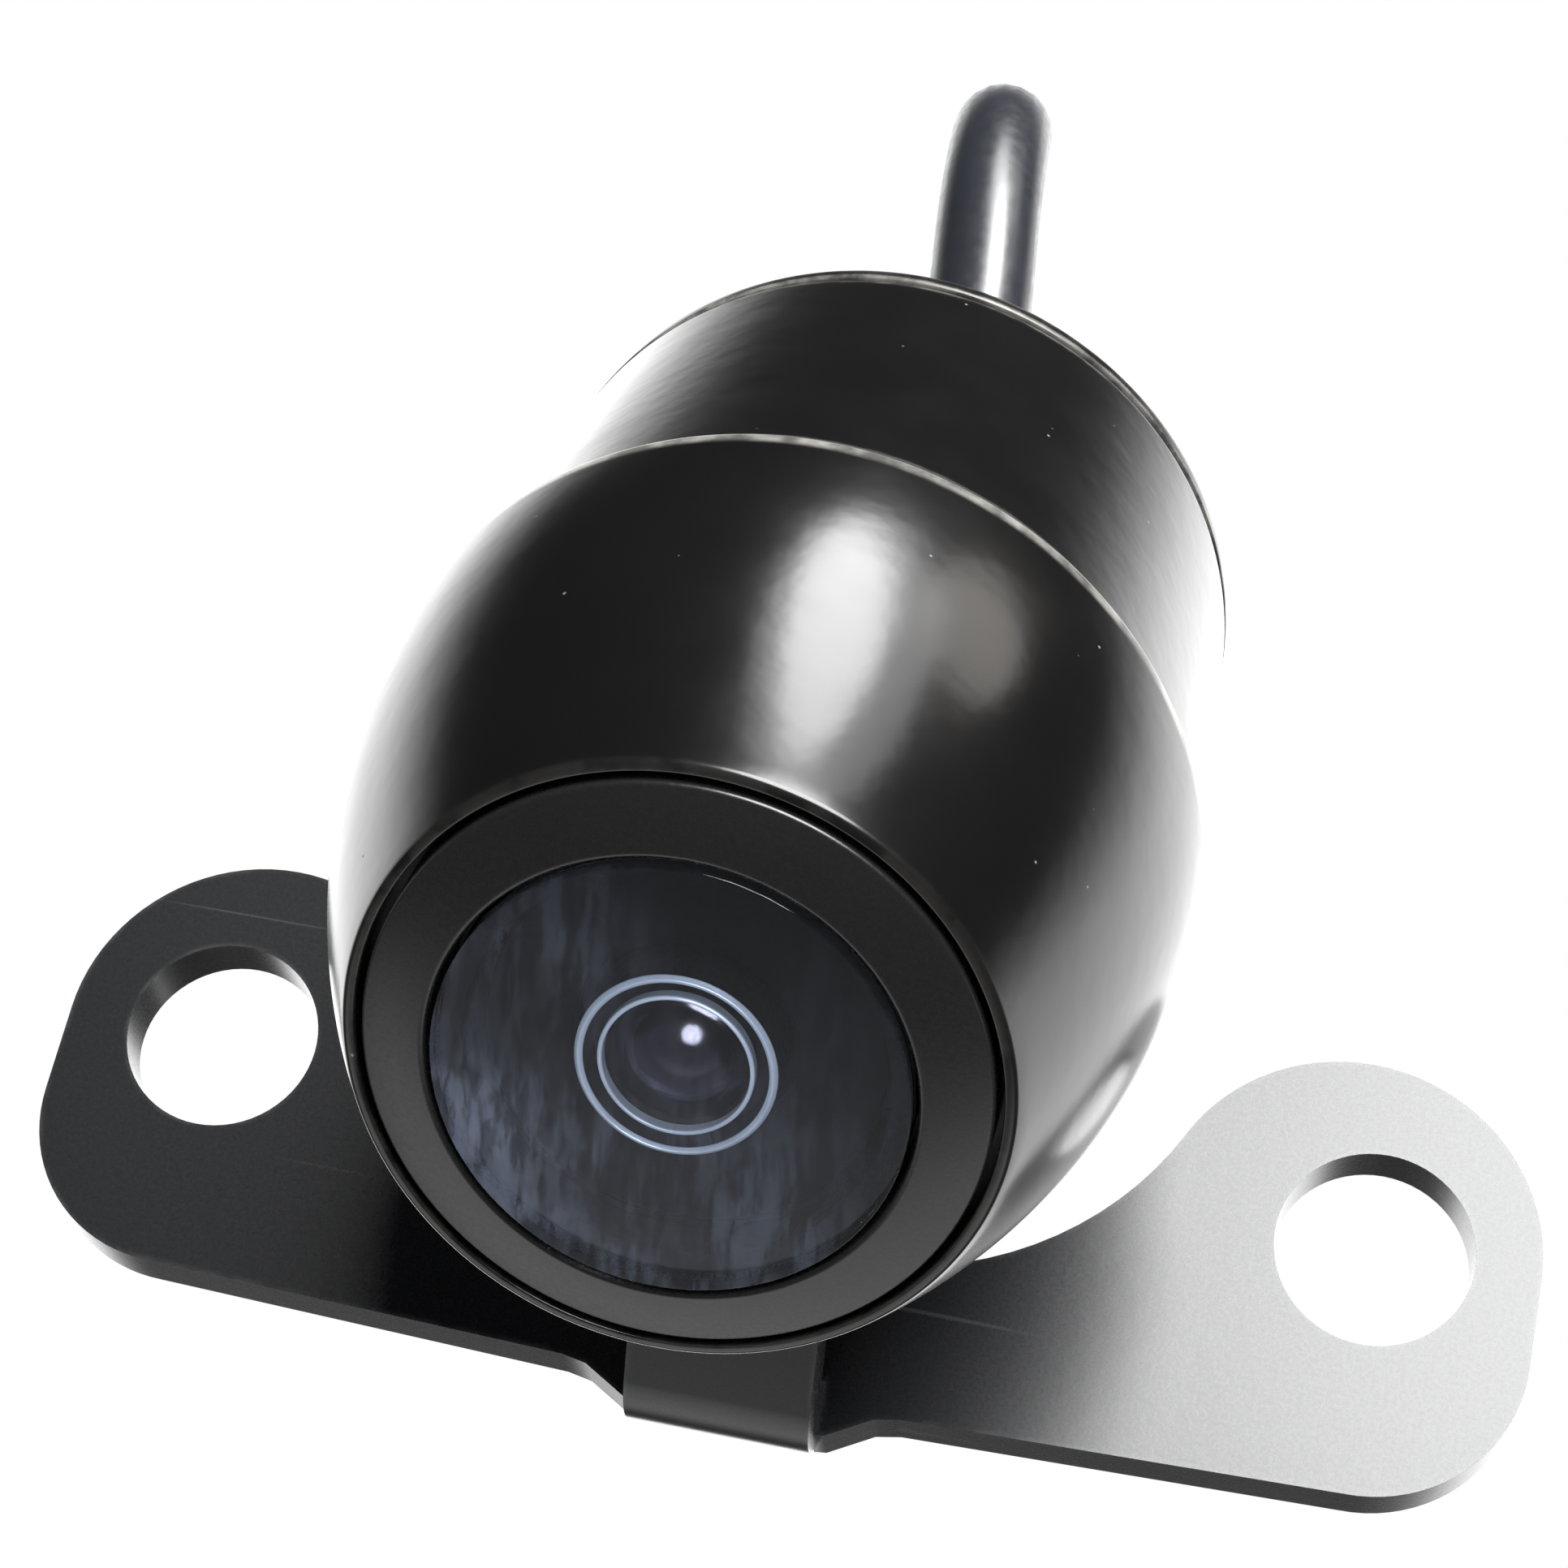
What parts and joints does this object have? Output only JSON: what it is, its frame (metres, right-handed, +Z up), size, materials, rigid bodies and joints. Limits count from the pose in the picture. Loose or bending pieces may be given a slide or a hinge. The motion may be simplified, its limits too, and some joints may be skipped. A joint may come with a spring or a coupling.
{
  "type": "backup camera",
  "caption": "Small round backup camera with a domed front shell and flat glass window, on a two-eared sheet bracket with a swivel screw, with its cable coiled and ending in a plug.",
  "frame": {"origin": "on the back plane of the bracket's ears, midway between their two holes, where the vehicle's panel lies", "axes": "+X along the row of the ears' holes, +Y into the vehicle, away from the scene that the camera looks at, +Z up"},
  "size_m": [0.0482, 0.0841, 0.0609],
  "materials": {
    "shell_paint": "gloss black paint on aluminium",
    "bracket_powder": "black powder coat with a fine orange-peel texture",
    "bezel_plastic": "matte dark grey",
    "window_glass": "polished, faintly blue coating",
    "lens_glass": "polished, coated",
    "lens_metal": "anodised",
    "filter_glass": "polished",
    "black_plastic": "fine moulded grain",
    "white_plastic": "moulded",
    "chip_epoxy": "moulded epoxy",
    "circuit_board": "solder mask",
    "black_rubber": "matte",
    "connector_rubber": "satin",
    "bright_steel": "zinc plated",
    "brass": "turned",
    "cable_jacket": "smooth satin PVC",
    "red_wire": "smooth PVC",
    "black_wire": "smooth PVC",
    "yellow_wire": "smooth PVC",
    "white_wire": "smooth PVC"
  },
  "bodies": {
    "bracket": {"bracket": "bracket_powder"},
    "camera": {"front_shell": "shell_paint", "rear_barrel": "shell_paint", "rear_cap": "shell_paint", "front_bezel": "bezel_plastic", "window_glass": "window_glass", "cable_gland": "black_rubber", "flat_washer": "bright_steel", "spring_washer": "bright_steel", "pivot_screw": "bright_steel", "lens_barrel": "lens_metal", "lens_retaining_ring": "lens_metal", "lens_front_element": "lens_glass", "lens_second_element": "lens_glass", "lens_third_element": "lens_glass", "lens_rear_element": "lens_glass", "lens_spacer_ring": "black_plastic", "lens_lock_ring": "black_plastic", "lens_holder": "black_plastic", "ir_cut_filter": "filter_glass", "image_sensor": "chip_epoxy", "sensor_cover_glass": "filter_glass", "sensor_board": "circuit_board", "holder_screw_1": "bright_steel", "holder_screw_2": "bright_steel", "board_spacer_1": "brass", "board_spacer_2": "brass", "board_link_header": "black_plastic", "main_board": "circuit_board", "video_processor": "chip_epoxy", "power_inductor": "chip_epoxy", "filter_capacitor": "bright_steel", "wire_socket": "white_plastic", "wire_plug": "white_plastic", "cable_inner_end": "cable_jacket", "power_wire": "red_wire", "ground_wire": "black_wire", "video_wire": "yellow_wire", "trigger_wire": "white_wire", "window_gasket": "black_rubber", "light_shield": "black_plastic", "shell_seal": "black_rubber", "cable": "cable_jacket", "cable_coil": "cable_jacket", "cable_tail": "cable_jacket", "coil_tie_1": "black_plastic", "coil_tie_2": "black_plastic", "connector_body": "connector_rubber", "connector_shell": "black_plastic", "connector_seal": "black_rubber", "connector_insert": "black_plastic", "connector_pin_1": "brass", "connector_pin_2": "brass", "connector_pin_3": "brass", "connector_pin_4": "brass"}
  },
  "joints": [
    {"name": "camera_swivel", "type": "hinge", "parent": "bracket", "child": "camera", "pos_m": [0, -0.00445, -0.00095], "axis": [0, 0.7986, -0.6018], "range_deg": [-25, 25]}
  ]
}
